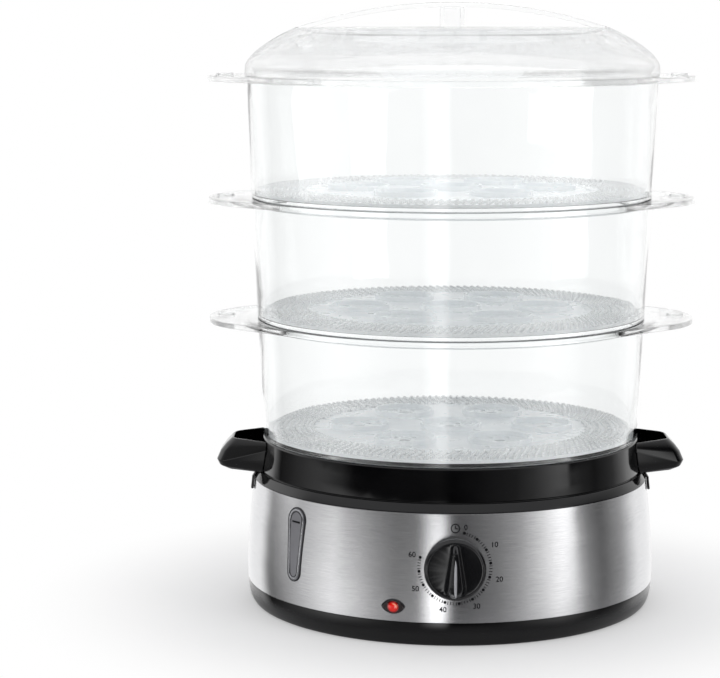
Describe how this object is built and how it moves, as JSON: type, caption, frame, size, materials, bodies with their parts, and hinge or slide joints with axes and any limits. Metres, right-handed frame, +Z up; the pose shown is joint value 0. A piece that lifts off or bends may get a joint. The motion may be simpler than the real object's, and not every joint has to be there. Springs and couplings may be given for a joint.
{
  "type": "electric food steamer",
  "caption": "Round electric food steamer: steel-banded base with a dial timer, stacked clear eared baskets and a domed clear lid.",
  "frame": {"origin": "centre of the standing ring, on the table", "axes": "+Z up through the centre of the baskets, -Y towards the timer's side, +X to the right seen from the timer"},
  "size_m": [0.305, 0.2753, 0.377],
  "materials": {
    "black_moulding": "glossy black moulding",
    "brushed_steel": "fine brushing round the band",
    "clear_moulding": "clear glossy moulding",
    "red_lens": "clear red lens",
    "rubber": "matt",
    "zinc_steel": "zinc plated steel",
    "cast_aluminium": "cast, sealed",
    "silicone": "matt silicone",
    "cream_moulding": "heat-resistant moulding",
    "white_moulding": "plain moulding",
    "brass": "stamped"
  },
  "bodies": {
    "base": {"bottom_cover": "black_moulding", "rubber_feet": "rubber", "cover_screws": "zinc_steel", "steel_band": "brushed_steel", "water_tank": "black_moulding", "handle_left": "black_moulding", "handle_right": "black_moulding", "heater_plate": "cast_aluminium", "heater_seal": "silicone", "heater_bracket": "zinc_steel", "heater_screws": "zinc_steel", "thermostat": "cream_moulding", "thermal_fuse": "zinc_steel", "turbo_ring": "white_moulding", "level_window": "clear_moulding", "lamp_lens": "red_lens", "lamp_holder": "white_moulding", "timer_body": "cream_moulding", "timer_bell": "brass", "terminal_block": "cream_moulding", "cord_gland": "rubber"},
    "timer_knob": {"timer_knob": "black_moulding", "timer_shaft": "zinc_steel"},
    "drip_tray": {"drip_tray": "black_moulding"},
    "basket_1": {"basket_1": "clear_moulding", "floor_1": "clear_moulding"},
    "basket_2": {"basket_2": "clear_moulding", "floor_2": "clear_moulding"},
    "basket_3": {"basket_3": "clear_moulding", "floor_3": "clear_moulding"},
    "lid": {"lid_dome": "clear_moulding", "lid_grip": "clear_moulding"}
  },
  "joints": [
    {"name": "timer_turn", "type": "hinge", "parent": "base", "child": "timer_knob", "pos_m": [0, -0.12767, 0.048], "axis": [0, 1, 0], "range_deg": [0, 286]},
    {"name": "tray_lift", "type": "slide", "parent": "base", "child": "drip_tray", "axis": [0, 0, 1], "range_m": [0, 0.06]},
    {"name": "basket_1_lift", "type": "slide", "parent": "drip_tray", "child": "basket_1", "axis": [0, 0, 1], "range_m": [0, 0.1]},
    {"name": "basket_2_lift", "type": "slide", "parent": "basket_1", "child": "basket_2", "axis": [0, 0, 1], "range_m": [0, 0.1]},
    {"name": "basket_3_lift", "type": "slide", "parent": "basket_2", "child": "basket_3", "axis": [0, 0, 1], "range_m": [0, 0.1]},
    {"name": "lid_lift", "type": "slide", "parent": "basket_3", "child": "lid", "axis": [0, 0, 1], "range_m": [0, 0.12]}
  ]
}
